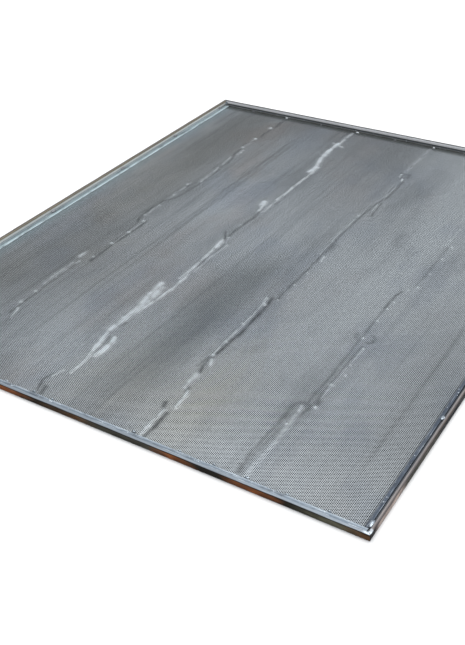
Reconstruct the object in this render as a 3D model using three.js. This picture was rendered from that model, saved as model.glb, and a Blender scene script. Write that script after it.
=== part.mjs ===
// A queen excluder for a ten-frame hive: a finely perforated steel sheet lying in a low, mitred frame of
// folded steel rails. Four flat bars carry the sheet from below, retaining strips hold its edges down on
// the rails' inner flanges, and weld beads join the pieces. Nothing moves.
//
// Millimetres, +Z up. X runs across the panel, Y along it, and the origin is the middle of the underside.
// Each side of the frame has a group of its own, turned about Z, in which X runs along the rail and Y is
// measured from the centre of the panel, so that every section is drawn once.
import * as THREE from "three";

// ---------------------------------------------------------------------------------------- dimensions
const WIDTH = 413; // outside, across X
const DEPTH = 508; // outside, along Y

// The rail is an L: an upright wall of folded layers, and a flange that reaches in under the sheet. The
// wall's thickness and the place of the retaining strip differ from side to side, and stand in SIDES.
const RAIL = { height: 4.8, flange: 0.6, reach: 10.4, hem: 0.55, bend: 0.6, edge: 0.12 };
const MITRE_GAP = 0.15; // each rail stops this far short of its 45 degree plane
const SHEET = { thickness: 0.8, clearance: 0.3 };
const STRIP = { thickness: 0.5, chamfer: 0.12, endGap: 0.3 };
const BAR = { count: 4, width: 8, chamfer: 0.15 };

const SHEET_BOTTOM = RAIL.flange;
const SHEET_TOP = SHEET_BOTTOM + SHEET.thickness;
const STRIP_TOP = SHEET_TOP + STRIP.thickness;

// Beads: half the width across the joint, half the length along it, and the height above their base.
const BAR_END_BEAD = { across: 1.9, along: 1.6, rise: 1.05 };
const EDGE_BEAD = { across: 1.3, along: 1.5, rise: 0.85 };
const SEAM_BEAD = { across: 2.6, along: 3.0, rise: 1.05 };
const SEAM_BEAD_OFFSET = 0.9; // from the rail's wall to the bead's centre
const BEAD_SIDES = 12;
const BEAD_RINGS = 3;
const BEAD_VARIATION = 0.18;
const CORNER_WELD = { leg: 1.9, top: 4.2, hollow: 0.3 };
const ARC_SEGMENTS = 5;

// Places of the beads along each side, from the middle of the side, in that side's own direction.
const NEAR_BEADS = [-187, -151, -97, -66, -25, 16, 76, 101, 151, 178];
const FAR_BEADS = [-165, -83, 0, 83, 165];
const RIGHT_BEADS = [-243, -139, -34, 71, 158, 238];
const LEFT_BEADS = [-236, -150, -62, 40, 137, 243];

// ----------------------------------------------------------------------------------------- materials
const steel = (color, roughness) => new THREE.MeshStandardMaterial({ color, roughness, metalness: 1 });
const RAIL_STEEL = steel(0x8d9096, 0.42);
const STRIP_STEEL = steel(0x8fa0b0, 0.35);
const SHEET_STEEL = steel(0x85898c, 0.5);
const BAR_STEEL = steel(0x7d8288, 0.5);
const WELD_METAL = steel(0xd6d9dc, 0.3);

const excluder = new THREE.Group();

function addMesh(parent, name, geometry, material) {
  const mesh = new THREE.Mesh(geometry, material);
  mesh.name = name;
  parent.add(mesh);
  return mesh;
}

// ------------------------------------------------------------------------------------------ sections
// A section is drawn with its x inwards from the outer face and its y upwards.
function railSection(wall) {
  const { height, flange, reach, hem, bend, edge } = RAIL;
  const s = new THREE.Shape();
  s.moveTo(bend, 0);
  s.lineTo(reach - edge, 0);
  s.lineTo(reach, edge);
  s.lineTo(reach, flange - edge);
  s.lineTo(reach - edge, flange);
  s.lineTo(wall, flange);
  s.lineTo(wall, height - hem);
  s.absarc(wall - hem, height - hem, hem, 0, Math.PI / 2, false);
  s.lineTo(hem, height);
  s.absarc(hem, height - hem, hem, Math.PI / 2, Math.PI, false);
  s.lineTo(0, bend);
  s.absarc(bend, bend, bend, Math.PI, 1.5 * Math.PI, false);
  return s;
}

function chamferedSection(x0, x1, y0, y1, chamfer) {
  const s = new THREE.Shape();
  s.moveTo(x0 + chamfer, y0);
  s.lineTo(x1 - chamfer, y0);
  s.lineTo(x1, y0 + chamfer);
  s.lineTo(x1, y1 - chamfer);
  s.lineTo(x1 - chamfer, y1);
  s.lineTo(x0 + chamfer, y1);
  s.lineTo(x0, y1 - chamfer);
  s.lineTo(x0, y0 + chamfer);
  return s;
}

// Sweeps a section along X between two ends. With mitre 1 the ends run in at 45 degrees as the section
// goes inwards, and with mitre 0 they are square. "outer" is the Y of the section's x = 0.
function sweep(section, start, end, mitre, outer) {
  const g = new THREE.ExtrudeGeometry(section, {
    depth: 2,
    bevelEnabled: false,
    curveSegments: ARC_SEGMENTS,
  });
  const p = g.getAttribute("position");
  for (let i = 0; i < p.count; i++) {
    const inward = p.getX(i);
    const up = p.getY(i);
    const along = p.getZ(i) > 1 ? end - mitre * inward : start + mitre * inward;
    p.setXYZ(i, along, outer + inward, up);
  }
  return g;
}

// ------------------------------------------------------------------------------------------- beads
// A dome of weld metal on a flat base. "along" and "inward" place its centre on the side, and nothing of
// it reaches outside the plane "stop", where the bead meets an upright face.
function beadGeometry(size, along, inward, base, stop, outer) {
  const profile = [new THREE.Vector2(0, 0)];
  for (let i = 0; i < BEAD_RINGS; i++) {
    const a = (i / BEAD_RINGS) * (Math.PI / 2);
    profile.push(new THREE.Vector2(Math.cos(a), Math.sin(a)));
  }
  profile.push(new THREE.Vector2(0, 1));
  const g = new THREE.LatheGeometry(profile, BEAD_SIDES).rotateX(Math.PI / 2);
  const p = g.getAttribute("position");
  for (let i = 0; i < p.count; i++) {
    const x = along + size.along * p.getX(i);
    const y = Math.max(inward + size.across * p.getY(i), stop);
    p.setXYZ(i, x, outer + y, base + size.rise * p.getZ(i));
  }
  return g;
}

// A bead's size varies a little from one to the next: the longer it is, the flatter.
function varied(size, n) {
  const k = BEAD_VARIATION * Math.sin(2.4 * n + 1);
  return { across: size.across, along: size.along * (1 + k), rise: size.rise * (1 - k) };
}

// A hollow-faced fillet of weld standing in a square corner whose arms run along -X and +Y.
function cornerWeldGeometry() {
  const { leg, top, hollow } = CORNER_WELD;
  const s = new THREE.Shape();
  s.moveTo(0, 0);
  s.lineTo(-leg, 0);
  s.quadraticCurveTo(-leg * hollow, leg * hollow, 0, leg);
  return new THREE.ExtrudeGeometry(s, {
    depth: top - SHEET_TOP,
    bevelEnabled: false,
    curveSegments: ARC_SEGMENTS,
  });
}

// --------------------------------------------------------------------------------------------- sides
// In order round the frame. "strip" holds how far in from the outer face its retaining strip begins and
// ends. "isEnd" marks the two short sides, which the bars run between.
const SIDES = [
  {
    name: "near",
    length: WIDTH,
    away: DEPTH / 2,
    wall: 2.2,
    strip: { from: 4.2, to: 7.2 },
    beads: NEAR_BEADS,
    isEnd: true,
  },
  {
    name: "right",
    length: DEPTH,
    away: WIDTH / 2,
    wall: 2.2,
    strip: { from: 4.2, to: 6.8 },
    beads: RIGHT_BEADS,
    isEnd: false,
  },
  {
    name: "far",
    length: WIDTH,
    away: DEPTH / 2,
    wall: 3.2,
    strip: { from: 4.6, to: 8.4 },
    beads: FAR_BEADS,
    isEnd: true,
  },
  {
    name: "left",
    length: DEPTH,
    away: WIDTH / 2,
    wall: 3.2,
    strip: { from: 5.6, to: 10.0 },
    beads: LEFT_BEADS,
    isEnd: false,
  },
];
const [NEAR, RIGHT, FAR, LEFT] = SIDES;

// ------------------------------------------------------------------------------------- perforated sheet
// It fills the space between the rails' walls, less a clearance all round.
const sheet = addMesh(
  excluder,
  "perforated_sheet",
  new THREE.BoxGeometry(
    WIDTH - LEFT.wall - RIGHT.wall - 2 * SHEET.clearance,
    DEPTH - NEAR.wall - FAR.wall - 2 * SHEET.clearance,
    SHEET.thickness,
  ),
  SHEET_STEEL,
);
sheet.position.set(
  (LEFT.wall - RIGHT.wall) / 2,
  (NEAR.wall - FAR.wall) / 2,
  SHEET_BOTTOM + SHEET.thickness / 2,
);

// ---------------------------------------------------------------------------------------- support bars
// They share the panel's width into equal bays and run between the inner edges of the end flanges.
const barXs = Array.from({ length: BAR.count }, (_, i) => WIDTH * ((i + 1) / (BAR.count + 1) - 0.5));
const barHalf = DEPTH / 2 - RAIL.reach;
barXs.forEach((x, i) => {
  const section = chamferedSection(-BAR.width / 2, BAR.width / 2, 0, SHEET_BOTTOM, BAR.chamfer);
  const bar = addMesh(
    excluder,
    `support_bar_${i + 1}`,
    sweep(section, -barHalf, barHalf, 0, 0),
    BAR_STEEL,
  );
  bar.rotation.z = Math.PI / 2;
  bar.position.x = x;
});

// ------------------------------------------------------------------------------- pieces of each side
SIDES.forEach((side, turn) => {
  const group = new THREE.Group();
  group.rotation.z = turn * (Math.PI / 2);
  excluder.add(group);
  const outer = -side.away;
  const half = side.length / 2;
  const before = SIDES[(turn + 3) % 4]; // the side at this one's left-hand end, seen from inside the frame
  const after = SIDES[(turn + 1) % 4];

  const section = railSection(side.wall);
  const rail = sweep(section, MITRE_GAP - half, half - MITRE_GAP, 1, outer);
  addMesh(group, `${side.name}_rail`, rail, RAIL_STEEL);

  // The near and far strips run through to the corners, and the side strips stop between them.
  const inset = (neighbour) => (side.isEnd ? neighbour.strip.from : neighbour.strip.to + STRIP.endGap);
  const { from, to } = side.strip;
  const strip = sweep(
    chamferedSection(from, to, SHEET_TOP, STRIP_TOP, STRIP.chamfer),
    inset(before) - half,
    half - inset(after),
    0,
    outer,
  );
  addMesh(group, `${side.name}_retaining_strip`, strip, STRIP_STEEL);

  // On the near and far sides the beads lie on the sheet against the strip's inner edge. On the two long
  // sides they lie on the strip and bridge the seam to the rail's wall.
  side.beads.forEach((along, i) => {
    const size = varied(side.isEnd ? EDGE_BEAD : SEAM_BEAD, i + turn * BEAD_RINGS);
    const bead = side.isEnd
      ? beadGeometry(size, along, to, SHEET_TOP, to, outer)
      : beadGeometry(size, along, side.wall + SEAM_BEAD_OFFSET, STRIP_TOP, side.wall, outer);
    addMesh(group, `${side.name}_tack_weld_${i + 1}`, bead, WELD_METAL);
  });

  if (side.isEnd) {
    barXs.forEach((x, i) => {
      const size = varied(BAR_END_BEAD, i + turn);
      const bead = beadGeometry(size, turn === 0 ? x : -x, to, SHEET_TOP, to, outer);
      addMesh(group, `${side.name}_bar_weld_${i + 1}`, bead, WELD_METAL);
    });
  }

  // The corner at this side's right-hand end.
  const cornerWeld = addMesh(group, `${side.name}_corner_weld`, cornerWeldGeometry(), WELD_METAL);
  cornerWeld.position.set(half - after.wall, outer + side.wall, SHEET_TOP);
});

export default excluder;
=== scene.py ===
"""A queen excluder panel: a finely perforated steel sheet in a low folded-steel frame, on a pale floor.

Metres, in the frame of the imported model: X across the panel, Y along it, Z up, origin under its middle.
The sheet is cut here with its real holes and is puckered over the four bars below it. The rails, strips
and weld beads are drawn again inside their CAD shapes, with the wear of folded and welded sheet steel.
"""
import math

import bmesh
import bpy
import numpy as np
from mathutils import Matrix, Vector


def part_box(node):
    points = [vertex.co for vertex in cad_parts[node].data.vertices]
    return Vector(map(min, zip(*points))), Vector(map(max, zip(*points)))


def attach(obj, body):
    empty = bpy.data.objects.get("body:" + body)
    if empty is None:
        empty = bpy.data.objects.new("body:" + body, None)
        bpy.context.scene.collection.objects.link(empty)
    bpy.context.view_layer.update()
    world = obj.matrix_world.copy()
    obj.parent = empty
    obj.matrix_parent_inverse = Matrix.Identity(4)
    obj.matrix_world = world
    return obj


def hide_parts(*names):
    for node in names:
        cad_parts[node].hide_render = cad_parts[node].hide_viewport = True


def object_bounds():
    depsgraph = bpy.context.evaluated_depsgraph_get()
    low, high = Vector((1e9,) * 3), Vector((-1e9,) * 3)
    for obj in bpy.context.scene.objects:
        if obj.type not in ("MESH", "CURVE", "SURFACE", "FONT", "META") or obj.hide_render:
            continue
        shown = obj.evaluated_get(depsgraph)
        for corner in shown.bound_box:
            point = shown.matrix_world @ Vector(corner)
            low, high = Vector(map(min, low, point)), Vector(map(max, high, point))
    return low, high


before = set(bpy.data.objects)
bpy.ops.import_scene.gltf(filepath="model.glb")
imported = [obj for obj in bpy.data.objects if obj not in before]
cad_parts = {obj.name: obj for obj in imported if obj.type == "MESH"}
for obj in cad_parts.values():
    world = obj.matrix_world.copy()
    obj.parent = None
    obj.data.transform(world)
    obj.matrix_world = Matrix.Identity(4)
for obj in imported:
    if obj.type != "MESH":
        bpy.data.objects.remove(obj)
CAD_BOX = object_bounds()
MM = 0.001


# ------------------------------------------------------------------------------------ sizes from the frame
def corners(node):
    """The lowest and highest corner of a CAD node, in millimetres."""
    low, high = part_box(node)
    return np.array(low) / MM, np.array(high) / MM


HALF = np.array(CAD_BOX[1])[:2] / MM
RIM_TOP = CAD_BOX[1][2] / MM
SHEET_LO, SHEET_HI = corners("perforated_sheet")
FLANGE = SHEET_LO[2]
SHEET_GAP = 0.3  # between the sheet's edges and the rim walls
MITRE_SEAM = 0.15  # how far each rail stops short of its mitre lines
INNER_ROUND = {"near": 0.4, "right": 0.4, "far": 1.1, "left": 0.4}  # of each rail's inner top arris
BAR_X = [float(np.mean([c[0] for c in corners(f"support_bar_{i + 1}")])) for i in range(4)]

# Each side's own axes: "along" runs along the rail and "inward" is measured from its outer face. "axis" is
# the panel axis that runs across the rail, "half" half the rail's length, "away" how far out its face is.
SIDES = {
    "near": {"axis": 1, "sign": 1, "half": HALF[0], "away": HALF[1]},
    "right": {"axis": 0, "sign": -1, "half": HALF[1], "away": HALF[0]},
    "far": {"axis": 1, "sign": -1, "half": HALF[0], "away": HALF[1]},
    "left": {"axis": 0, "sign": 1, "half": HALF[1], "away": HALF[0]},
}
for name, side in SIDES.items():
    gap = {"near": SHEET_LO[1], "right": -SHEET_HI[0], "far": -SHEET_HI[1], "left": SHEET_LO[0]}[name]
    side["wall"] = side["away"] + gap - SHEET_GAP
    low, high = corners(f"{name}_retaining_strip")
    side["strip"] = sorted(side["away"] - abs(v[side["axis"]]) for v in (low, high))
    run = 1 - side["axis"]
    side["strip_run"] = (low[run], high[run])
    side["strip_z"] = (low[2], high[2])


def to_panel(side, along, inward, z):
    """Points of a side's own axes, in millimetres, as panel points in metres."""
    s = SIDES[side]
    across = s["sign"] * (inward - s["away"])
    flat = (along, across) if s["axis"] == 1 else (across, along)
    return np.stack([*flat, z], -1) * MM


# --------------------------------------------------------------------------------------- small wanderings
def smooth(v, low, high):
    """A smooth step from 0 at "low" to 1 at "high"."""
    t = np.clip((v - low) / (high - low), 0, 1)
    return t * t * (3 - 2 * t)


def wander(t, seed, step):
    """A smooth line that wanders between about -1 and 1, turning every "step" or so."""
    a = np.sin(t / step * 1.9 + seed * 1.7) + 0.7 * np.sin(t / step * 3.3 + seed * 2.9 + 1)
    return (a + 0.5 * np.sin(t / step * 6.1 + seed * 4.3 + 2)) / 1.9


def patches(x, y, seed, step):
    """Soft islands over the sheet, between about -1 and 1."""
    u = x + 0.6 * step * wander(y, seed, 1.4 * step)
    v = y + 0.6 * step * wander(x, seed + 5, 1.2 * step)
    return wander(u, seed + 1, step) * wander(v, seed + 2, 1.3 * step)


# --------------------------------------------------------------------------------- the sheet's puckers
# The sheet was fixed to each bar in short runs and buckled along them. Each stroke is its strength, its
# half width and the places it runs through, in millimetres: how far along the bar, and how far to the right
# of its middle. A strength above 0 is a raised crest, rubbed bright and lit with a painted highlight, and
# one below 0 a crease darkened with painted shade. One place alone is a bead.
PUCKERS = (
    (  # support bar 1
        (-0.45, 1.2, (240, 1), (210, 1), (182, 0.5)), (0.8, 1.8, (213, -1.5)), (0.8, 1.8, (182, -1)),
        (-0.4, 1, (176, 0), (165, -4), (158, -3)), (0.7, 1.8, (158, -2)),
        (0.3, 1.2, (178, -1), (162, -1.5)),
        (-0.45, 1, (152, -1), (140, 0), (130, 3.5), (120, 5), (108, 4.5)),
        (0.35, 1.7, (151, 3), (140, 2.8)), (0.35, 1.4, (133, -0.5), (122, 1.5), (114, 3)),
        (0.3, 1.4, (106, 2), (92, 4), (72, 4.5)), (0.6, 1.3, (146, 3.4)), (0.6, 1.3, (98, 2.4)),
        (0.65, 1.4, (73, 4.5)), (-0.4, 0.9, (104, 5), (84, 6.5)), (-0.35, 1, (80, 6.5), (50, 5), (34, 2.5)),
        (-0.55, 1, (34, 2.5), (24, -3), (8, -4.5), (-14, -3), (-20, 0)),
        (0.3, 1.5, (66, -2), (40, -1.6), (26, -1)), (-0.45, 1.1, (62, -0.6), (57, -0.4)),
        (0.75, 1.5, (62, -2.6)), (0.7, 1.4, (38, -1.8)), (0.3, 1.2, (22, -1.4), (-8, -1.6)),
        (0.6, 1.3, (15, -1.6)), (0.6, 1.3, (-6, -1.5)), (-0.3, 0.9, (-20, 1), (-40, 2), (-62, 3.6)),
        (-0.7, 1, (-15, 6), (-30, 7), (-60, 6), (-78, 5.6), (-92, 6)),
        (-0.35, 0.8, (-60, 3.8), (-76, 3.2), (-90, 4.6)), (0.7, 1.5, (-16, 4)), (0.75, 1.5, (-39, 5)),
        (0.8, 1.5, (-61, 4)), (0.6, 1.3, (-86, 4)), (0.2, 1, (-16, 4.4), (-60, 4.6), (-90, 4.2)),
        (0.5, 1.8, (-83, -6), (-91, -6)), (0.45, 1.2, (-97, -1), (-101, -1.4)),
        (0.35, 2, (-102, -4.4), (-120, -4), (-138, -3.8)), (0.3, 1.4, (-112, -2), (-126, -1.8)),
        (-0.3, 1, (-100, -0.8), (-122, -0.4), (-146, 0)), (0.6, 1.5, (-150, -1.3)),
        (0.6, 1.7, (-167, -1.4)), (-0.5, 1, (-147, 1), (-166, 1), (-182, 2)),
        (0.45, 1.2, (-174, 2.6), (-180, 5), (-187, 7.4)), (0.2, 1.3, (-145, -1), (-175, -1)),
    ),
    (  # support bar 2
        (0.5, 1.9, (240, -3), (224, -3.6), (208, -3)), (0.5, 1.6, (209, -9), (206, -3), (204, 3)),
        (0.92, 2.3, (210, -4), (192, -4.6), (174, -3.4), (160, -1), (150, 1.4), (141, 2)),
        (0.8, 2.4, (151, 3), (139, 1)), (0.65, 1.4, (140, 4.4), (118, 4), (94, 3.4), (74, 3)),
        (0.35, 1.5, (75, 4.4), (58, 3.4), (46, 3)), (0.85, 2.5, (65, -4.6), (59, -3.6)),
        (0.6, 1.6, (60, -3), (48, -0.8)), (-0.3, 1, (72, 6), (66, 6)),
        (-0.55, 1, (50, 1.6), (34, 2), (14, 1), (-6, 0)), (-0.65, 0.9, (2, -6), (-5, -2), (-12, 2)),
        (0.5, 1.3, (18, -0.8)), (0.6, 1.3, (-6, 1)), (0.8, 2.1, (-12, 0), (-25, 1)),
        (0.6, 1.6, (-24, 1), (-40, 2.4), (-56, 3), (-80, 3.6)),
        (-0.4, 0.9, (-17, 4.6), (-30, 5.2), (-60, 5.4)), (0.35, 1.4, (-17, 7.4), (-40, 6.4), (-66, 7.4)),
        (0.5, 1.2, (-39, 5.6)), (0.5, 1.2, (-65, 7.4)),
        (0.65, 1.4, (-72, 6.6), (-92, 6.8), (-108, 6), (-122, 4.4), (-136, 2.4), (-150, 1), (-164, -0.4)),
        (0.72, 2.5, (-93, -5), (-106, -4), (-120, -2), (-136, -0.4), (-150, -0.6), (-164, 0)),
        (0.66, 3.4, (-99, -1.4), (-114, 0.4), (-138, 0.8)),
        (-0.6, 1.1, (-151, 3.6), (-158, 2.2), (-165, 2)),
        (0.85, 1.9, (-162, -0.6), (-173, 1), (-186, 3.6), (-195, 6)), (-0.6, 1.5, (-238, 3), (-245, 5)),
        (0.55, 1.6, (-195, 6), (-204, 8), (-217, 7.6)), (-0.35, 0.9, (-171, 5), (-184, 6.6), (-192, 8)),
        (0.85, 2.1, (-170, 8.6), (-176, 10.4), (-186, 10.6), (-193, 9.6)),
        (0.35, 1.6, (-218, 1), (-227, -0.6)),
        (-0.6, 0.8, (-221, 0.6), (-227, -2), (-233, -3.4), (-239, -1.6), (-244, 1)),
    ),
    (  # support bar 3
        (0.25, 2.4, (240, -1.6), (214, -2), (180, -2.4)), (0.5, 1.2, (214, -2.4)),
        (-0.45, 1, (177, -5), (170, -1), (165, 1)), (-0.3, 2, (176, 3.6), (169, 4.6)),
        (0.65, 1.2, (174, -3.4), (168, -2)), (0.75, 1.1, (165, 1.4), (160, 2.6)),
        (-0.45, 0.9, (168, 1.6), (160, 4), (148, 5), (130, 5), (120, 4), (110, 1.6), (94, 0.4), (80, -0.4)),
        (-0.5, 0.9, (80, -0.4), (40, -0.8), (24, 0), (10, 1), (-20, 1.6), (-46, 2), (-70, 2.4)),
        (0.25, 1.2, (146, 3), (124, 2.4), (112, 0)), (-0.5, 0.9, (112, 5), (98, 5.6), (90, 6), (86, 7.6)),
        (0.35, 1.2, (108, 3.2), (94, 4)), (0.3, 1.1, (84, -2.4), (60, -2.6), (40, -3), (8, -1.6)),
        (0.65, 1.2, (81, -2.5)), (0.55, 1.2, (56, -2.6)), (0.5, 1.2, (30, -2.7)), (0.5, 1.2, (7, -1.6)),
        (-0.4, 2.4, (24, 1.2), (12, 1.4)), (0.65, 1.2, (4, 3.6), (-3, 4.6)), (0.45, 1.3, (-25, 4)),
        (0.45, 1.3, (-45, 4)), (0.6, 1.3, (-70, 3.4)), (0.5, 1.7, (-72, -5.4), (-78, -4.6)),
        (0.45, 1.1, (-74, -4), (-100, -3), (-113, -2.6), (-135, -2), (-155, -1.4)), (0.9, 1.3, (-80, -2.4)),
        (0.9, 1.4, (-110, -3)), (0.75, 1.3, (-135, -1.8)), (0.9, 1.4, (-153, -1)),
        (-0.8, 1.3, (-70, -1.2), (-85, 0), (-105, 1), (-120, 2), (-136, 1), (-150, 0), (-156, -1)),
        (-0.45, 0.9, (-153, -1), (-160, -2.6), (-168, -3.4)),
        (-0.65, 1, (-158, -1.4), (-167, -0.4), (-175, 2.2)), (0.55, 1.5, (-158, 1.4), (-164, 4)),
        (0.55, 2.3, (-177, 1), (-186, 1.4), (-193, 3.2)), (-0.85, 1.1, (-192, 4.6), (-195, 5.6)),
        (0.6, 1.6, (-195, 6.6), (-203, 8.4), (-213, 9)), (-0.75, 1.4, (-212, 0), (-216, 1.6)),
        (-0.5, 0.9, (-216, 2), (-222, 6)), (0.55, 1.6, (-219, 4), (-232, 4), (-245, 4.6)),
        (-0.85, 1.3, (-221, 8), (-235, 8), (-246, 7.6)),
    ),
    (  # support bar 4
        (0.25, 1.1, (106, -0.4), (68, -0.6)), (0.55, 1.4, (98, -0.4)), (0.55, 1.4, (77, -1)),
        (0.55, 1.3, (67, 5)), (0.55, 1.3, (46, 5)), (0.5, 1.3, (20, 4.4)), (0.6, 1.4, (-3, 4.6)),
        (-0.2, 1, (66, 2), (30, 3), (0, 3)), (-0.55, 1, (-14, -3.6), (-20, -5), (-30, -5.4), (-42, -5)),
        (0.6, 1.2, (-31, -2.4)),
        (-0.35, 0.9, (-42, -4.6), (-62, -4.6), (-86, -4), (-100, -3), (-150, -2), (-167, -2)),
        (0.65, 1.2, (-41, -3.4)), (0.65, 1.4, (-59, -2.4)), (0.65, 1.4, (-84, -2)), (0.5, 1.2, (-10, 0.4)),
        (-0.45, 1.2, (-79, 3), (-81, 6), (-86, 5.8), (-88, 3.4)), (-0.35, 1.6, (-82, -8), (-86, -7)),
        (-0.35, 0.8, (-93, 1), (-110, 1.4), (-140, 1.6), (-166, 2)),
        (0.3, 1.3, (-95, 3), (-120, 3), (-160, 3.2)), (0.65, 1.2, (-96, 3.4)), (0.6, 1.2, (-117, 3.4)),
        (0.65, 1, (-129, 6)), (0.65, 1.4, (-143, 3)), (-0.55, 1.3, (-161, 3), (-165, 4)),
        (0.95, 1.4, (-169, 4.4)), (-0.45, 1.3, (-172, 1), (-178, 0)),
        (-0.42, 1.3, (-169, 1.6), (-168, -4), (-171, -8), (-177, -9), (-200, -9), (-226, -9), (-240, -8)),
        (-0.5, 1.8, (-237, -8.4), (-243, -7)), (-0.32, 1.7, (-198, -5.4), (-220, -6.4), (-238, -7)),
        (0.4, 1.5, (-172, -4), (-178, -3)), (0.42, 2.1, (-174, -3), (-195, -2), (-216, -1.6), (-245, -2)),
        (0.7, 1.3, (-177, -3)), (0.9, 1.2, (-192, -3.6)), (0.6, 1.3, (-218, -2)), (0.5, 1.2, (-233, -1.4)),
    ),
)

# Faint straight creases: place across the panel, from and to along it, height, width.
CREASES = ((-91.5, 206, -212, 0.22, 1.6), (-86, 206, -150, 0.22, 1.6), (177, -20, -212, 0.2, 2))
REACH = 20  # no stroke is farther than this from its bar

# Large soft clouds of painted light and shade, some with a painted brown reflection: middle (x, y), half
# sizes, how much lighter, how brown.
LIGHT_AND_SHADE_CLOUDS = (
    (-155, 200, 32, 130, -0.36, 0.5), (-160, 30, 34, 110, -0.12, 0.8), (-165, -140, 34, 50, -0.25, 0.5),
    (-55, 235, 60, 50, -0.2, 0), (18, 205, 28, 85, -0.3, 0), (-70, 50, 34, 60, 0.3, 0),
    (-15, 20, 35, 70, 0.14, 0), (170, -50, 45, 75, -0.2, 0), (195, -140, 30, 80, -0.2, 0),
    (-66, -205, 26, 60, 0.28, 0), (90, -240, 70, 28, 0.14, 0), (2, -215, 30, 50, 0, 0.8),
    (62, -205, 24, 55, 0, 1), (-112, -90, 26, 45, -0.06, 0.7),
)


def stroke_distance(u, v, stops):
    """How far points are from a line through the stops."""
    d = np.full_like(u, np.inf)
    for a, b in zip(stops, np.roll(stops, -1, 0)[: max(len(stops) - 1, 1)]):
        run = b - a
        t = np.clip(((u - a[0]) * run[0] + (v - a[1]) * run[1]) / max(run @ run, 1e-9), 0, 1)
        d = np.minimum(d, np.hypot(u - a[0] - t * run[0], v - a[1] - t * run[1]))
    return d


def sheet_fields(x, y):
    """The buckled sheet's height at points in millimetres, and its fields: crests rubbed bright with a
    painted highlight, painted shade in the creases, clouds of painted light and shade, and a painted
    brownish reflection.
    """
    rise, rub_and_highlight, crease_shade, brown_reflection = (np.zeros_like(x) for _ in range(4))
    cloud = np.ones_like(x)
    # Clouds of painted light and shade, and of painted brown reflection.
    for at_x, at_y, size_x, size_y, lighter, browner in LIGHT_AND_SHADE_CLOUDS:
        blob = np.exp(-(((x - at_x) / size_x) ** 2) - ((y - at_y) / size_y) ** 2)
        cloud += lighter * blob
        brown_reflection += browner * blob
    for bar, strokes in zip(BAR_X, PUCKERS):
        near_bar = np.flatnonzero(np.abs(x - bar) < REACH)
        across, along = x[near_bar] - bar, y[near_bar]
        up, bright, black = (np.zeros_like(across) for _ in range(3))
        for k, (strength, width, *places) in enumerate(strokes):
            seed = bar * 0.37 + k * 2.1
            stops = np.array(places)
            low, high = stops.min(0) - 4 * width, stops.max(0) + 4 * width
            beside = (along > low[0]) & (along < high[0])
            here = np.flatnonzero(beside & (across > low[1]) & (across < high[1]))
            u, v = along[here], across[here]
            v = v + 0.45 * wander(u, seed, 17) + 0.2 * wander(u, seed + 3, 5)
            d = stroke_distance(u, v, stops)
            w = width * (1 + 0.2 * wander(u, seed + 1, 11))
            worn = abs(strength) ** 0.8 * np.clip(0.88 + 0.25 * wander(u, seed + 4, 7), 0.3, 1)
            core = np.exp(-((d / w) ** 2))
            # A crease is painted shade only; it does not change the height.
            if strength < 0:
                black[here] = np.maximum(black[here], 0.95 * worn * np.exp(-((d / (1.25 * w)) ** 2)))
                continue
            flat_top = 0.5 - 0.5 * np.tanh((d - 0.8 * w) / (0.3 + 0.16 * w))
            up[here] = np.maximum(up[here], (0.1 + 0.8 * strength) * min(1, 1.8 / width) * flat_top)
            # A crest's bright band is partly rubbed metal and partly a painted highlight.
            glow = 0.62 * core + 0.38 * np.exp(-((d / (2.1 * w)) ** 2))
            bright[here] = np.maximum(bright[here], glow * (0.95 * strength if len(places) == 1 else worn))
        rise[near_bar], rub_and_highlight[near_bar], crease_shade[near_bar] = up, bright, black
    for at, start, stop, height, width in CREASES:
        d = (x - at - 0.7 * wander(y, at, 60)) / width
        along = smooth(y, stop, stop + 30) * (1 - smooth(y, start - 30, start))
        rise += height * along * np.exp(-d * d)
        # Painted shade along one side of each faint crease.
        crease_shade += 0.25 * along * np.exp(-((d - 0.9) ** 2) * 1.5)
    slack = 0.4 + 0.3 * patches(x, y, 3, 38) + 0.06 * patches(x, y, 8, 13)
    inside = np.minimum.reduce([x - SHEET_LO[0], SHEET_HI[0] - x, y - SHEET_LO[1], SHEET_HI[1] - y])
    shape = rise * smooth(inside, 2, 5) + slack * smooth(inside, 6, 30)
    return shape, {"rub_and_highlight": rub_and_highlight, "crease_shade": crease_shade, "cloud": cloud, "brown_reflection": brown_reflection}


# ----------------------------------------------------------------------------------------- making meshes
def mesh_object(name, points, faces, sharp=32):
    """A closed piece from panel points in metres, facing out, smooth except across sharp edges."""
    mesh = bpy.data.meshes.new(name)
    mesh.from_pydata(points.tolist(), [], faces)
    work = bmesh.new()
    work.from_mesh(mesh)
    bmesh.ops.recalc_face_normals(work, faces=work.faces)
    work.to_mesh(mesh)
    work.free()
    mesh.shade_smooth()
    mesh.set_sharp_from_angle(angle=math.radians(sharp))
    ob = bpy.data.objects.new(name, mesh)
    bpy.context.scene.collection.objects.link(ob)
    return ob


UV_MARGIN = 1.02  # the UV square is this much larger than the sheet


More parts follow.
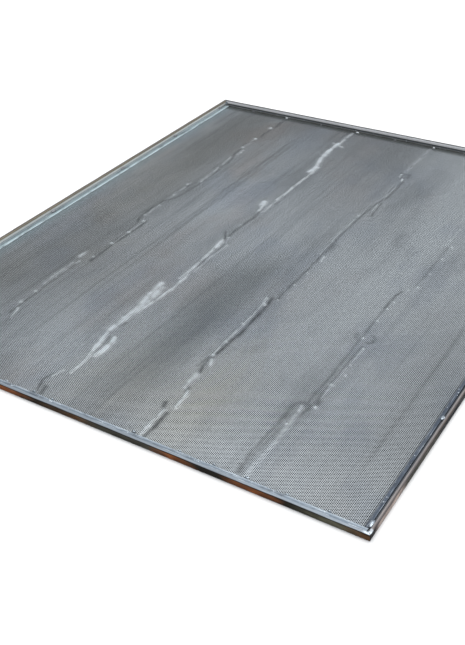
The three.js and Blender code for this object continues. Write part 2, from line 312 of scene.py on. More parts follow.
def large_mesh(name, points, quads, tris):
    """A mesh too large for lists. It gets a plan-view UV map, the same on both faces of the plate."""
    mesh = bpy.data.meshes.new(name)
    mesh.vertices.add(len(points))
    mesh.vertices.foreach_set("co", points.astype(np.float32).ravel())
    loops = np.concatenate([quads.ravel(), tris.ravel()]).astype(np.int32)
    mesh.loops.add(len(loops))
    mesh.loops.foreach_set("vertex_index", loops)
    starts = np.concatenate([np.arange(len(quads)) * 4, quads.size + np.arange(len(tris)) * 3])
    mesh.polygons.add(len(starts))
    mesh.polygons.foreach_set("loop_start", starts.astype(np.int32))
    mesh.update(calc_edges=True)
    mesh.shade_flat()
    plan = points[loops, :2] / (UV_MARGIN * np.ptp(points[:, 1])) + 0.5
    mesh.uv_layers.new(name="OFBake").data.foreach_set("uv", plan.astype(np.float32).ravel())
    ob = bpy.data.objects.new(name, mesh)
    bpy.context.scene.collection.objects.link(ob)
    return ob


def tube_faces(rings, n):
    """The faces between rings of n points each, listed one ring after another."""
    ring = np.arange(n)
    start = n * np.arange(rings - 1)[:, None]
    a, b = (start + ring).ravel(), (start + np.roll(ring, -1)).ravel()
    return np.stack([a, b, b + n, a + n], 1).tolist()


def add_piece(ob, look, slot, *nodes):
    """Puts a piece's look on it and lets it stand for CAD nodes."""
    ob.data.materials.append(look)
    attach(ob, "root")
    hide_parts(*nodes)


# ----------------------------------------------------------------------------------------- perforation
PITCH = 1.28  # from hole to hole along a row
ROW = PITCH * math.sqrt(3) / 2  # from row to row
HOLE_R = 0.55  # to a hole's six corners
FIELD_MARGIN = 1.6  # left plain along the sheet's edges


def faces_of(*corner_lists):
    """Faces from the lists of their first, second and further corners."""
    return np.stack([np.ravel(c) for c in corner_lists], 1)


def hole_webs(corner):
    """The faces between the holes. "corner" numbers the points by row, hole and one of its six corners."""
    # Those between the holes of one row, then those to the next row, which is shifted by half a hole.
    quads, tris = [faces_of(corner[:, :-1, 2], corner[:, :-1, 1], corner[:, 1:, 5], corner[:, 1:, 4])], []
    late, early = slice(1, None), slice(None, -1)
    for shifted in (0, 1):
        b = corner[shifted + 1::2]
        a = corner[shifted:-1:2][: len(b)]
        au, up = (a[:, early], b[:, late]) if shifted else (a, b)
        ad, down = (a, b) if shifted else (a[:, late], b[:, early])
        over, under = (b[:, late], a[:, early]) if shifted else (b[:, early], a[:, late])
        quads.append(faces_of(au[:, :, 1], au[:, :, 0], up[:, :, 4], up[:, :, 3]))
        quads.append(faces_of(ad[:, :, 0], ad[:, :, 5], down[:, :, 3], down[:, :, 2]))
        tris.append(faces_of(a[:, early, 1], over[:, :, 3], a[:, late, 5]))
        tris.append(faces_of(b[:, early, 2], b[:, late, 4], under[:, :, 0]))
    return quads, tris


def plain_margin(corner, x, y, half):
    """Joins each outermost corner to a point beside it on the plate's edge.

    Returns all the points' x and y, the new faces, and the plate's outline.
    """
    bottom, top = [], []
    for i, row in enumerate(corner):
        first, last = [3] * (i > 0), [0] * (i < len(corner) - 1)
        bottom.append(row[0, first + [4, 5] + last] if i % 2 else row[0, [4, 5]])
        top.append(row[-1, [2, 1]] if i % 2 else row[-1, first + [2, 1] + last])
    lines = {
        "left": corner[0][:, [4, 3, 2]].ravel(),
        "right": corner[-1][:, [5, 0, 1]].ravel(),
        "bottom": np.concatenate(bottom),
        "top": np.concatenate(top),
    }
    xs, ys, quads, count, rim = [x], [y], [], corner.size, {}
    for side, line in lines.items():
        end = 1 if side in ("right", "top") else -1
        upright = side in ("left", "right")
        xs.append(np.full(len(line), end * half[0]) if upright else x[line])
        ys.append(y[line] if upright else np.full(len(line), end * half[1]))
        rim[side] = np.arange(count, count + len(line))
        count += len(line)
        inner, outer = (line, rim[side]) if side in ("left", "top") else (line[::-1], rim[side][::-1])
        quads.append(faces_of(inner[:-1], inner[1:], outer[1:], outer[:-1]))
    xs.append(half[0] * np.array([-1, 1, -1, 1]))
    ys.append(half[1] * np.array([-1, -1, 1, 1]))
    low_left, low_right, high_left, high_right = range(count, count + 4)
    quads.append(np.array([
        [low_left, rim["bottom"][0], lines["left"][0], rim["left"][0]],
        [low_right, rim["right"][0], lines["right"][0], rim["bottom"][-1]],
        [high_left, rim["left"][-1], lines["left"][-1], rim["top"][0]],
        [high_right, rim["top"][-1], lines["right"][-1], rim["right"][-1]],
    ]))
    outline = [[low_left], rim["bottom"], [low_right], rim["right"]]
    outline += [[high_right], rim["top"][::-1], [high_left], rim["left"][::-1]]
    return np.concatenate(xs), np.concatenate(ys), quads, np.concatenate(outline)


def perforated_plate(name):
    """One closed plate with staggered holes, six-cornered at this size, and a plain margin."""
    middle, half = (SHEET_LO + SHEET_HI) / 2, (SHEET_HI - SHEET_LO)[:2] / 2
    rows = int((2 * (half[0] - FIELD_MARGIN)) / ROW) | 1
    holes = int((2 * (half[1] - FIELD_MARGIN)) / PITCH - 0.5)
    i, j = np.meshgrid(np.arange(rows), np.arange(holes), indexing="ij")
    hole_x = (i - (rows - 1) / 2) * ROW
    hole_y = (j - (holes - 1) / 2 + 0.5 * (i % 2) - 0.25) * PITCH
    angles = np.radians(60 * np.arange(6))
    x = (hole_x[..., None] + HOLE_R * np.cos(angles)).ravel()
    y = (hole_y[..., None] + HOLE_R * np.sin(angles)).ravel()
    corner = np.arange(x.size).reshape(rows, holes, 6)
    quads, tris = hole_webs(corner)
    x, y, margin, outline = plain_margin(corner, x, y, half)
    quads, tris = np.concatenate(quads + margin), np.concatenate(tris)
    x, y = x + middle[0], y + middle[1]
    rise, fields = sheet_fields(x, y)

    # The lower face repeats the upper one, n points further on, and walls join the two.
    n = len(x)
    hole = corner.reshape(-1, 6)
    a, b = hole.ravel(), np.roll(hole, -1, 1).ravel()
    hole_walls = faces_of(a, b, b + n, a + n)
    following = np.roll(outline, -1)
    skirt = faces_of(outline, outline + n, following + n, following)
    ob = large_mesh(
        name,
        np.concatenate([np.stack([x, y, z + rise], 1) for z in (SHEET_HI[2], SHEET_LO[2])]) * MM,
        np.concatenate([quads, quads[:, ::-1] + n, hole_walls, skirt]),
        np.concatenate([tris, tris[:, ::-1] + n]),
    )
    for field, values in fields.items():
        layer = ob.data.attributes.new(field, "FLOAT", "POINT")
        layer.data.foreach_set("value", np.concatenate([values, values]).astype(np.float32))
    return ob


# --------------------------------------------------------------------------------------- rails and strips
def arc(cx, cz, radius, start, stop, steps=6):
    """Points around a centre, from one angle to another in degrees."""
    a = np.radians(np.linspace(start, stop, steps + 1))
    return [(cx + radius * math.cos(v), cz + radius * math.sin(v)) for v in a]


def rail_section(wall, reach, inner):
    """An L of folded sheet: a hemmed upright wall, rounded over the top by "inner", and a flange."""
    top, bend = 0.4, 0.6
    points = [(reach - 0.12, 0), (reach, 0.12), (reach, FLANGE - 0.12), (reach - 0.12, FLANGE)]
    points += [(wall + 1.2, FLANGE), (wall + 0.25, FLANGE), (wall, FLANGE + 0.25)]
    points += [(wall, z) for z in np.linspace(FLANGE + 0.9, RIM_TOP - inner - 0.3, 5)]
    points += arc(wall - inner, RIM_TOP - inner, inner, 0, 90)
    points += [(u, RIM_TOP) for u in np.linspace(wall - inner, top, 6)[1:-1]]
    points += arc(top, RIM_TOP - top, top, 90, 180)
    points += [(0, z) for z in np.linspace(RIM_TOP - top, bend, 7)[1:-1]]
    return np.array(points + arc(bend, bend, bend, 180, 270))


def strip_section(low, high, z_low, z_high):
    """A flat with slightly rounded edges."""
    r = 0.13
    points = arc(high - r, z_low + r, r, -90, 0, 3) + arc(high - r, z_high - r, r, 0, 90, 3)
    points += [(u, z_high) for u in np.linspace(high - r, low + r, 6)[1:-1]]
    points += arc(low + r, z_high - r, r, 90, 180, 3) + arc(low + r, z_low + r, r, 180, 270, 3)
    return np.array(points)


def swept(name, side, section, start, stop, mitre, wear, step=2.0):
    """A section drawn along a side. "wear" moves its points a little, given along, inward and z."""
    stations = int((stop - start) / step) + 1
    t = np.linspace(0, 1, stations)[:, None]
    inward, z = (np.repeat(c[None], stations, 0) for c in section.T)
    first, last = start + mitre * inward, stop - mitre * inward
    along = first + (last - first) * t
    inward, z = wear(along, inward, z)
    points = to_panel(side, along, inward, z).reshape(-1, 3)
    n = len(section)
    caps = [list(range(n)), [(stations - 1) * n + i for i in reversed(range(n))]]
    return mesh_object(name, points, tube_faces(stations, n) + caps)


def rail_wear(side, wall, seed):
    """Hand-folded metal: the outer face and the top are a little dished between the corners."""
    calm = SIDES[side]["half"]

    def wear(along, inward, z):
        free = smooth(calm - np.abs(along), 2, 14)
        upright = smooth(z, FLANGE, FLANGE + 1.2)
        outer = 1 - smooth(inward, 0.1, 0.5 * wall)
        dish = 0.07 * np.maximum(1 + wander(along, seed, 23), 0) * outer * free * (0.4 + 0.6 * upright)
        inner = smooth(inward, 0.5 * wall, 0.9 * wall) * upright
        swell = -0.06 * (1 + wander(along, seed + 2, 17)) * inner * free
        crown = smooth(z, RIM_TOP - 0.7, RIM_TOP)
        drop = 0.05 * (1 + wander(along, seed + 4, 19)) + 0.03 * (1 + wander(along, seed + 5, 4))
        return inward + dish + swell, z - np.maximum(drop, 0) * crown * free

    return wear


def strip_wear(edges, z_low, seed):
    """Its inner edge was sheared by hand, and it lies down a little less well between the welds."""

    def wear(along, inward, z):
        inner = smooth(inward, edges[0] + 0.5, edges[1])
        cut = -0.11 * (1 + wander(along, seed, 16)) - 0.05 * (1 + wander(along, seed + 1, 3.1))
        upper = smooth(z, z_low, z_low + 0.3)
        return inward + cut * inner, z - 0.05 * (1 + wander(along, seed + 2, 21)) * upper

    return wear


# --------------------------------------------------------------------------------------------- weld beads
def weld_bead(name, node, seed, rings=9, around=28):
    """A lumpy drop of weld metal, flat below, inside the box of its CAD bead."""
    low, high = corners(node)
    centre, size = (low + high) / 2, (high - low) / 2
    a = np.linspace(0, np.pi / 2, rings)[:, None]
    b = np.linspace(0, 2 * np.pi, around, endpoint=False)[None, :]
    lump = 0.9 + 0.07 * np.sin(3 * b + seed) * np.cos(a) + 0.05 * np.sin(5 * b + 4 * a + 2 * seed)
    ripple = 1 - 0.05 * (1 + np.sin(9 * np.cos(a) * np.cos(b - seed) + seed))
    flat = np.cos(a) ** 0.75 * lump
    x = centre[0] + size[0] * flat * np.cos(b)
    y = centre[1] + size[1] * flat * np.sin(b)
    z = low[2] + 2 * size[2] * np.sin(a) * 0.97 * ripple + 0 * b
    points = np.stack([x, y, z], -1)[:-1].reshape(-1, 3)
    tip = [[centre[0], centre[1], low[2] + 2 * size[2] * 0.95]]
    last, top = (rings - 2) * around, (rings - 1) * around
    faces = tube_faces(rings - 1, around)
    faces += [(last + i, last + (i + 1) % around, top) for i in range(around)]
    faces.append(tuple(range(around))[::-1])
    return mesh_object(name, np.concatenate([points, tip]) * MM, faces, sharp=60)


def corner_fillet(name, node, seed, layers=30, across=9):
    """A stacked run of weld in an upright corner, rippled from one layer to the next."""
    low, high = corners(node)
    out = np.sign((low + high)[:2])
    root = np.where(out > 0, high[:2], low[:2])
    leg = (high - low)[:2]
    t = np.linspace(0, 1, across)[None, :]
    z = np.linspace(0, 1, layers)[:, None]
    beat = 0.86 + 0.1 * np.abs(np.sin(z * 17 + seed)) + 0.03 * np.sin(z * 41 + seed * 3)
    bulge = beat * (1 - 0.25 * z**3)
    hollow = 2 * t * (1 - t) * 0.3
    curve_x = ((1 - t) ** 2 + hollow) * bulge
    curve_y = (t**2 + hollow) * bulge
    x = root[0] - out[0] * leg[0] * np.concatenate([0 * z, curve_x], 1)
    y = root[1] - out[1] * leg[1] * np.concatenate([0 * z, curve_y], 1)
    height = low[2] + (high[2] - low[2]) * np.repeat(z, across + 1, 1)
    points = np.stack([x, y, height], -1).reshape(-1, 3)
    n = across + 1
    caps = [tuple(range(n))[::-1], tuple((layers - 1) * n + i for i in range(n))]
    return mesh_object(name, points * MM, tube_faces(layers, n) + caps, sharp=50)


# ------------------------------------------------------------------------------------------------- looks
def tone(r, g, b):
    """A colour given as it looks on a screen, 0 to 255, in the linear values that shaders use."""
    return tuple(((v / 255 + 0.055) / 1.055) ** 2.4 if v > 10 else v / 255 / 12.92 for v in (r, g, b))


class Look:
    """A metal built from nodes. Lengths are in millimetres of the panel's own frame."""

    def __init__(self, name):
        self.material = bpy.data.materials.new(name)
        self.material.use_nodes = True
        self.tree = self.material.node_tree
        self.shader = self.tree.nodes["Principled BSDF"]
        geometry = self.node("ShaderNodeNewGeometry")
        scale = self.node("ShaderNodeVectorMath", operation="SCALE")
        self.link(geometry.outputs["Position"], scale.inputs[0])
        scale.inputs["Scale"].default_value = 1 / MM
        self.place = scale.outputs[0]
        self.x, self.y, self.z = self.parts(self.place)
        self.nx, self.ny, self.nz = self.parts(geometry.outputs["Normal"])
        self.flat_nz = self.parts(geometry.outputs["True Normal"])[2]

    def node(self, kind, **settings):
        n = self.tree.nodes.new(kind)
        for key, value in settings.items():
            setattr(n, key, value)
        return n

    def link(self, value, socket):
        """Sets a socket from another socket, a number or a colour."""
        if isinstance(value, bpy.types.NodeSocket):
            self.tree.links.new(value, socket)
        elif isinstance(value, tuple):
            socket.default_value = (*value, 1) if len(socket.default_value) == 4 else value
        else:
            socket.default_value = value

    def parts(self, vector):
        n = self.node("ShaderNodeSeparateXYZ")
        self.link(vector, n.inputs[0])
        return n.outputs[0], n.outputs[1], n.outputs[2]

    def calc(self, operation, *values):
        n = self.node("ShaderNodeMath", operation=operation)
        for value, socket in zip(values, n.inputs):
            self.link(value, socket)
        return n.outputs[0]

    def times(self, value, *others):
        """The product of sockets and numbers."""
        for other in others:
            value = self.calc("MULTIPLY", value, other)
        return value

    def fade(self, value, low, high, to_low=0.0, to_high=1.0, kind="SMOOTHSTEP"):
        """A smooth step from to_low at "low" to to_high at "high"."""
        n = self.node("ShaderNodeMapRange", interpolation_type=kind)
        for v, socket in zip((value, low, high, to_low, to_high), n.inputs):
            self.link(v, socket)
        return n.outputs[0]

    def noise(self, size, seed, detail=3.0, rough=0.55):
        """Noise whose lumps measure "size" along x, y and z."""
        n = self.node("ShaderNodeMapping")
        self.link(self.place, n.inputs["Vector"])
        n.inputs["Scale"].default_value = [1 / s for s in size]
        n.inputs["Location"].default_value = (seed * 3.7, seed * 5.3, seed * 1.9)
        made = self.node("ShaderNodeTexNoise")
        self.link(n.outputs[0], made.inputs["Vector"])
        made.inputs["Scale"].default_value = 1.0
        made.inputs["Detail"].default_value = detail
        made.inputs["Roughness"].default_value = rough
        return made.outputs[0]

    def mix(self, factor, a, b, blend="MIX"):
        n = self.node("ShaderNodeMix", data_type="RGBA", blend_type=blend)
        self.link(factor, n.inputs[0])
        self.link(a, n.inputs[6])
        self.link(b, n.inputs[7])
        return n.outputs[2]

    def ramp(self, value, low, high, stops):
        """Colours set out along a value that runs from low to high."""
        n = self.node("ShaderNodeValToRGB")
        points = n.color_ramp.elements
        while len(points) < len(stops):
            points.new(0.5)
        for point, (at, color) in zip(points, stops):
            point.position = (at - low) / (high - low)
            point.color = (*color, 1)
        self.link(self.fade(value, low, high, kind="LINEAR"), n.inputs[0])
        return n.outputs[0]

    def spot(self, at, radius):
        """1 at a place on the panel (x, y), falling to 0 at the radius."""
        dx, dy = self.calc("SUBTRACT", self.x, at[0]), self.calc("SUBTRACT", self.y, at[1])
        far = self.calc("SQRT", self.calc("ADD", self.times(dx, dx), self.times(dy, dy)))
        return self.fade(far, radius, 0.3 * radius)

    def attribute(self, name):
        return self.node("ShaderNodeAttribute", attribute_name=name).outputs["Fac"]

    def bump(self, height, distance):
        n = self.node("ShaderNodeBump")
        n.inputs["Distance"].default_value = distance * MM
        self.link(height, n.inputs["Height"])
        self.link(n.outputs[0], self.shader.inputs["Normal"])

    def done(self, color, metallic, roughness):
        self.link(color, self.shader.inputs["Base Color"])
        self.link(metallic, self.shader.inputs["Metallic"])
        self.link(roughness, self.shader.inputs["Roughness"])
        return self.material


def axes(look, side):
    """The sockets of a side's own axes: along it, and inward from its outer face."""
    s = SIDES[side]
    along, across = (look.x, look.y) if s["axis"] == 1 else (look.y, look.x)
    inward = look.calc("ADD", look.times(across, float(s["sign"])), s["away"])
    return along, inward


def stretched(side, length, width):
    """The size of marks that are drawn out along a side."""
    return (length, width, width) if SIDES[side]["axis"] == 1 else (width, length, width)


# How the folded steel has weathered.
RUST, STAIN, SOOT = (150, 92, 54), (104, 76, 52), (40, 38, 32)
BARE, DULL, BLUED = (104, 102, 86), (76, 74, 66), (28, 31, 34)
BRUSHED, PITCH_BLACK = (188, 172, 164), (14, 14, 16)

# What each rail shows: patches on its outer face (from its low end on), its top from the outer arris to
# the inner one, and its inner wall from the foot up. The top and wall tones differ from side to side as
# painted reflection and shade: the far top is painted dark toward its outer arris, the left top carries a
# painted brown reflection, the far and left walls a pale painted highlight, and every wall is painted
# darker toward the foot. "edge" is where across the wall the top's second tone begins and is full, and
# "arris" is how dark the painted shade on the outer face gets below the top.
RAIL_TONES = {
    "near": {
        "outer": ((-200, STAIN), (-160, SOOT), (-120, STAIN), (-90, SOOT), (-60, RUST), (-35, SOOT),
                  (0, STAIN), (25, DULL), (55, DULL), (78, RUST), (100, SOOT), (115, SOOT), (133, RUST),
                  (152, SOOT), (172, BARE), (188, BARE), (203, STAIN)),
        "top": ((150, 158, 166), (150, 159, 168)),
        "wall": ((2.0, (90, 96, 104)), (3.1, (120, 126, 132))),
    },
    "right": {
        "outer": ((-254, PITCH_BLACK), (-248, PITCH_BLACK), (-240, BRUSHED), (-215, BRUSHED), (-205, DULL),
                  (-165, DULL), (-145, BLUED), (-100, BLUED), (0, SOOT), (120, DULL)),
        "top": ((98, 90, 86), (148, 142, 140)),
        "arris": 0.45,
        "wall": ((2.0, (86, 91, 99)), (3.1, (110, 114, 121))),
    },
    "far": {
        "outer": ((-200, DULL), (60, BARE), (200, DULL)),
        "top": ((38, 36, 30), (150, 152, 154)),
        "edge": (0.5, 1.0),
        "wall": ((1.4, (62, 64, 62)), (2.0, (92, 95, 94)), (2.6, (252, 252, 254))),
    },
    "left": {
        "outer": ((-240, DULL), (-80, STAIN), (90, BARE), (240, STAIN)),
        "top": ((80, 72, 60), (132, 124, 108)),
        "wall": ((1.4, (150, 164, 168)), (1.7, (230, 236, 236)), (2.0, (252, 252, 248)),
                 (3.4, (252, 252, 248)), (4.1, (130, 120, 100))),
    },
}


def outer_face(look, side, along, drift):
    """The patches along a rail's outer face, which are grimy, with painted shade just under the top."""
    tones, half = RAIL_TONES[side], SIDES[side]["half"]
    loose = look.fade(look.calc("ABSOLUTE", along), half - 2, half - 30)
    moved = look.calc("ADD", along, look.times(look.fade(drift, 0.3, 0.7, -7, 7), loose))
    outer = look.ramp(moved, -half, half, [(at, tone(*c)) for at, c in tones["outer"]])
    grime = look.fade(look.noise(stretched(side, 9, 1.6), 5), 0.42, 0.62)
    outer = look.mix(look.times(grime, 0.35), outer, tone(38, 36, 34))
    # Painted shade on the rounded arris under the top, which turns away from the light.
    arris = look.fade(look.z, RIM_TOP - 1.4, RIM_TOP - 0.5)
    return look.mix(look.times(arris, tones.get("arris", 0.88)), outer, tone(26, 24, 22))


def rail_look(side):
    """Folded steel with heat tint, soot and worn patches, a top painted lighter and its own inner wall, in
    tones of painted reflection and shade.
    """
    look = Look(f"{side}_rail_steel")
    along, inward = axes(look, side)
    tones, wall = RAIL_TONES[side], SIDES[side]["wall"]
    drift = look.noise(stretched(side, 26, 9), 2)
    outer = outer_face(look, side, along, drift)
    # The inner wall's tones: painted shade toward the foot, and a pale painted highlight on the far and
    # left walls.
    wall_color = look.ramp(look.z, 0, RIM_TOP, [(at, tone(*c)) for at, c in tones["wall"]])
    standing = look.mix(look.fade(inward, 0.35 * wall, 0.65 * wall), outer, wall_color)
    streak = look.noise(stretched(side, 30, 0.5), 7)
    low, high = tones.get("edge", (0.25, 0.75))
    # The top's two tones are painted reflection and shade; the far top is painted dark toward its outer
    # arris.
    top = look.mix(look.fade(inward, low * wall, high * wall), *(tone(*c) for c in tones["top"]))
    top = look.mix(look.fade(streak, 0.35, 0.7, 0.0, 0.45), top, tone(92, 96, 104))
    color = look.mix(look.fade(look.nz, 0.3, 0.75), standing, top)
    patch = look.spot((HALF[0] - 1.5, 1.5 - HALF[1]), 4.5)
    broken = look.fade(look.noise((1.6, 1.6, 1.6), 11), 0.36, 0.5)
    patch = look.times(patch, broken, look.fade(look.nz, 0.3, 0.7))
    color = look.mix(patch, color, tone(206, 214, 222))
    fine = look.noise(stretched(side, 3, 0.35), 13, 4)
    look.bump(look.calc("ADD", fine, look.times(drift, 3.0)), 0.05)
    rough = look.fade(look.noise(stretched(side, 12, 2), 17), 0.3, 0.7, 0.34, 0.58)
    rough = look.calc("ADD", rough, look.fade(inward, 0.4 * wall, 0.1 * wall, 0, 0.22))
    below = look.fade(look.nz, -0.4, -0.8)
    color = look.mix(below, color, tone(118, 122, 127))
    # The pale painted highlight on the inner walls is kept less metallic so that it stays light.
    upright = look.times(look.fade(look.nz, 0.8, 0.2), look.calc("SUBTRACT", 1, below))
    pale = look.times(upright, look.fade(inward, 0.5 * wall, 0.8 * wall))
    metal = look.calc("SUBTRACT", 0.94, look.times(pale, 0.85))
    return look.done(color, metal, rough)


# Two tones of each strip, which differ from side to side as painted reflection and shade, and how strongly
# it is scratched.
STRIP_TONES = {
    "near": ((132, 144, 155), (164, 173, 181), 0.75),
    "right": ((54, 59, 69), (84, 90, 100), 0.25),
    "far": ((56, 54, 50), (68, 70, 67), 0.15),
    "left": ((140, 160, 164), (214, 228, 233), 0.3),
}


def strip_look(side):
    """Thin rolled flats, scratched along, with soot and weld spatter, in tones of painted reflection, with
    a painted highlight on the inner edge and painted shade beside the rail wall.
    """
    look = Look(f"{side}_strip_steel")
    along, inward = axes(look, side)
    start, stop = SIDES[side]["strip"]
    first, second = (tone(*c) for c in STRIP_TONES[side][:2])
    rolled = look.fade(look.noise(stretched(side, 40, 0.6), 3), 0.32, 0.68)
    color = look.mix(look.times(rolled, 0.6), first, second)
    # A painted highlight along the inner edge.
    color = look.mix(look.fade(inward, stop - 1.6, stop - 0.3, 0.0, 0.7), color, second)
    # Painted shade along the outer edge, beside the rail wall.
    color = look.mix(look.fade(inward, start + 2.0, start + 1.4, 0.0, 0.5), color, tone(84, 94, 106))
    scratch = look.fade(look.noise(stretched(side, 14, 0.45), 33, 3), 0.56, 0.66, 0.0, STRIP_TONES[side][2])
    color = look.mix(scratch, color, tone(218, 226, 232))
    soot = look.fade(look.noise(stretched(side, 11, 4), 9), 0.5, 0.68, 0.0, 0.5)
    color = look.mix(soot, color, tone(58, 62, 68))
    spatter = look.fade(look.noise((2.2, 2.2, 2.2), 15, 2), 0.66, 0.72, 0.0, 0.8)
    color = look.mix(spatter, color, tone(214, 222, 228))
    look.bump(look.noise(stretched(side, 4, 0.4), 21, 4), 0.04)
    return look.done(color, 0.9, look.fade(rolled, 0, 1, 0.3, 0.5))


def sheet_painted_light(look):
    """The sheet's colour with painted light: lighter toward the near and right sides, clouds of painted
    light and shade, painted brownish and bluish reflections in places, and painted shade between two bars.
    """
    dull, light = tone(182, 187, 191), tone(222, 228, 232)
    # Painted light: lighter toward the near side and toward the right.
    toward_near = look.fade(look.y, 150, -240, 0, 0.5)
    toward_near = look.times(toward_near, look.fade(look.x, -150, 40, 0.1, 1))
    color = look.mix(toward_near, dull, light)
    toward_right = look.times(look.fade(look.x, -40, 170), look.fade(look.y, -220, 0), 0.8)
    color = look.mix(toward_right, color, light)
    # Clouds of painted shade and painted light.
    clouds = look.noise((50, 150, 50), 3, 4)
    color = look.mix(look.fade(clouds, 0.5, 0.72, 0, 0.45), color, tone(132, 137, 142))
    color = look.mix(look.fade(clouds, 0.46, 0.3, 0, 0.4), color, tone(206, 210, 213))
    # Painted brown and blue reflections.
    brown_reflection = look.fade(look.noise((60, 110, 50), 8, 3), 0.5, 0.7, 0, 0.3)
    brown_reflection = look.times(brown_reflection, look.fade(look.x, 60, -120, 0.3, 1))
    color = look.mix(brown_reflection, color, tone(176, 160, 150))
    blue = look.fade(look.noise((44, 90, 40), 12, 3), 0.5, 0.68, 0, 0.3)
    color = look.mix(blue, color, tone(158, 168, 184))
    # Painted shade in a long patch between two bars.
    valley_x = look.times(look.fade(look.x, -24, 8), look.fade(look.x, 36, 12))
    valley_y = look.times(look.fade(look.y, -270, -140), look.fade(look.y, 10, -60))
    return look.mix(look.times(valley_x, valley_y, 0.55), color, tone(108, 116, 120))


def edge_light_and_shade(look, color):
    """A pale painted reflection beside the left strip, painted shade below the far rail, a painted shadow
    in the gap by the right wall, and painted shade along the right strip's inner edge.
    """
    # A pale painted reflection beside the left strip.
    beside = look.fade(look.x, SHEET_LO[0] + 20, SHEET_LO[0] + 7, 0, 0.5)
    color = look.mix(beside, color, tone(168, 190, 198))
    shade = look.fade(look.y, SHEET_HI[1] - 15, SHEET_HI[1] - 7, 0, 0.88)
    color = look.mix(shade, color, tone(82, 87, 85))
    # A painted shadow in the gap between the right strip and the rail wall.
    groove = look.fade(look.x, SHEET_HI[0] - 2.6, SHEET_HI[0] - 1.6, 0, 0.9)
    color = look.mix(groove, color, tone(50, 52, 58))
    # Painted shade where the right strip lies on the sheet.
    soot = look.fade(look.x, SHEET_HI[0] - 5.7, SHEET_HI[0] - 4.7, 0, 0.5)
    return look.mix(soot, color, tone(70, 76, 84))


def sheet_look():
    """Dull rolled steel with painted light: clouds of painted light and shade, crests rubbed bright with a
    painted highlight, painted shade in the holes.
    """
    look = Look("sheet_steel")
    color = edge_light_and_shade(look, sheet_painted_light(look))
    for width, length, seed, share in ((1.3, 90, 6, 0.28), (5, 260, 9, 0.3)):
        streaks = look.noise((width, length, 5), seed, 3)
        share = look.fade(look.x, -20, 60, share, 0.4 * share)
        color = look.mix(look.fade(streaks, 0.5, 0.74, 0, share), color, tone(112, 117, 123))
    # Clouds of painted light and shade.
    color = look.mix(1.0, color, look.attribute("cloud"), "MULTIPLY")
    # A painted brown reflection.
    color = look.mix(look.attribute("brown_reflection"), color, look.mix(1.0, color, (1.05, 1.0, 0.92), "MULTIPLY"))
    # Painted shade in the creases.
    color = look.mix(look.times(look.attribute("crease_shade"), 0.95), color, tone(52, 57, 62))
    color = look.mix(1.0, color, (0.79, 0.805, 0.815), "MULTIPLY")
    rub_and_highlight = look.attribute("rub_and_highlight")
    # Rubbed metal with a painted highlight on the crests.
    color = look.mix(look.fade(rub_and_highlight, 0.02, 0.95, 0, 0.86), color, tone(232, 239, 244))
    # Painted shade on the hole walls, weaker toward the left, the far side and the rubbed crests.
    wall = look.fade(look.calc("ABSOLUTE", look.flat_nz), 0.65, 0.35)
    hole_shade = look.times(look.fade(look.x, -190, -20, 0.65, 1), look.fade(look.y, -190, -60, 1, 0.8))
    hole_shade = look.times(hole_shade, look.fade(rub_and_highlight, 0.1, 0.8, 1, 0.25))
    color = look.mix(look.times(wall, hole_shade), color, tone(16, 17, 18))
    rough = look.fade(look.noise((30, 60, 30), 19), 0.3, 0.7, 0.46, 0.6)
    rough = look.calc("ADD", rough, look.times(rub_and_highlight, 0.1))
    return look.done(color, look.fade(rub_and_highlight, 0, 1, 0.4, 0.3), rough)


def bar_look():
    look = Look("bar_steel")
    clouds = look.noise((9, 44, 9), 4, 4)
    color = look.mix(look.fade(clouds, 0.35, 0.7), tone(120, 124, 130), tone(88, 88, 88))
    color = look.mix(look.fade(look.noise((5, 12, 5), 6, 4), 0.56, 0.7, 0, 0.7), color, tone(104, 74, 54))
    look.bump(look.noise((0.5, 14, 0.5), 8, 4), 0.05)
    return look.done(color, 0.85, look.fade(look.noise((6, 18, 6), 10), 0.3, 0.7, 0.38, 0.6))


def weld_look(name, light, grey):
    look = Look(name)
    cloud = look.noise((1.2, 1.2, 0.6), 2, 4)
    color = look.mix(look.fade(cloud, 0.35, 0.7), light, grey)
    scale = look.fade(look.noise((0.7, 0.7, 0.7), 5, 3), 0.6, 0.74, 0, 0.8)
    color = look.mix(scale, color, tone(96, 92, 90))
    look.bump(cloud, 0.12)
    return look.done(color, 0.75, look.fade(cloud, 0.3, 0.7, 0.3, 0.5))


def floor_look():
    look = Look("studio_floor")
    return look.done(tone(238, 238, 238), 0.0, 0.75)


# ------------------------------------------------------------------------------------------------ pieces
for number, (side, s) in enumerate(SIDES.items()):
    low, high = corners(f"{side}_rail")
    reach = (high - low)[s["axis"]]
    end = s["half"] - MITRE_SEAM
    section = rail_section(s["wall"], reach, INNER_ROUND[side])
    wear = rail_wear(side, s["wall"], 3 * number + 1)
    rail = swept(f"{side}_rail_folded", side, section, -end, end, 1, wear)
    add_piece(rail, rail_look(side), "rail_steel", f"{side}_rail")
    section = strip_section(*s["strip"], *s["strip_z"])
    wear = strip_wear(s["strip"], s["strip_z"][0], 5 * number + 2)
    strip = swept(f"{side}_strip_rolled", side, section, *s["strip_run"], 0, wear)
    add_piece(strip, strip_look(side), "strip_steel", f"{side}_retaining_strip")

plate = perforated_plate("perforated_sheet_fine")
add_piece(plate, sheet_look(), "sheet_steel", "perforated_sheet")

BRIGHT_WELD = weld_look("bright_weld_metal", tone(240, 243, 246), tone(176, 182, 188))
GREY_WELD = weld_look("grey_weld_metal", tone(176, 186, 194), tone(112, 120, 130))
DULL_WELD = weld_look("dull_weld_metal", tone(140, 144, 148), tone(104, 106, 110))
BAR = bar_look()


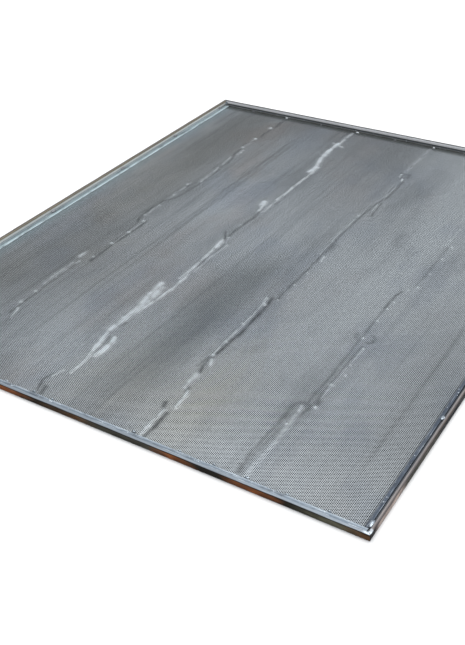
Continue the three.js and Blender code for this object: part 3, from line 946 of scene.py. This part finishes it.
def weld_metal(name):
    """The far and left tacks are darker, and the far bar ends are the brightest."""
    if "tack" in name and name.startswith(("far", "left")):
        return DULL_WELD
    return BRIGHT_WELD if name.startswith("far") and "corner" not in name else GREY_WELD


for name, node in sorted(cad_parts.items()):
    if "corner_weld" in name:
        add_piece(corner_fillet(f"{name}_bead", name, len(name)), weld_metal(name), "weld_metal", name)
    elif "weld" in name:
        seed = sum(map(ord, name)) % 17
        add_piece(weld_bead(f"{name}_bead", name, seed), weld_metal(name), "weld_metal", name)
    elif name.startswith("support_bar"):
        node.data.materials.clear()
        node.data.materials.append(BAR)


# ------------------------------------------------------------------------------------------ camera, studio
def make_camera():
    """The photographer's view, from the panel's near right."""
    azimuth, elevation, roll = (math.radians(v) for v in (33.079, 33.928, -2.145))
    data = bpy.data.cameras.new("camera")
    data.sensor_width = 36.0
    data.lens = 53.47
    data.shift_x, data.shift_y = -0.0003, -0.0005
    data.clip_start, data.clip_end = 0.01, 20.0
    camera = bpy.data.objects.new("camera", data)
    bpy.context.scene.collection.objects.link(camera)
    turn = Matrix.Rotation(azimuth, 4, "Z") @ Matrix.Rotation(math.pi / 2 - elevation, 4, "X")
    camera.matrix_world = (
        Matrix.Translation((0.34594, -0.59598, 0.39055)) @ turn @ Matrix.Rotation(roll, 4, "Z")
    )
    bpy.context.scene.camera = camera


def softbox(name, place, size, power, color=(1, 1, 1)):
    """A rectangular lamp that faces the panel."""
    data = bpy.data.lights.new(name, "AREA")
    data.shape = "RECTANGLE"
    data.size, data.size_y = size
    data.energy = power
    data.color = color
    lamp = bpy.data.objects.new(name, data)
    bpy.context.scene.collection.objects.link(lamp)
    lamp.location = place
    lamp.rotation_euler = (-Vector(place)).to_track_quat("-Z", "Y").to_euler()


make_camera()
bpy.ops.mesh.primitive_plane_add(size=8)
floor = bpy.context.object
floor.name = "studio_floor"
floor.data.materials.append(floor_look())
softbox("overhead", (0.1, 0.1, 2.4), (2.4, 2.4), 76)
softbox("window", (-1.1, 1.8, 1.5), (2.6, 1.3), 10, (0.95, 0.975, 1.0))
world = bpy.data.worlds.new("studio")
bpy.context.scene.world = world
world.use_nodes = True
sky = world.node_tree.nodes["Background"]
sky.inputs["Color"].default_value = (0.9, 0.95, 1.0, 1)
sky.inputs["Strength"].default_value = 0.36
bpy.context.scene.view_settings.view_transform = "Standard"
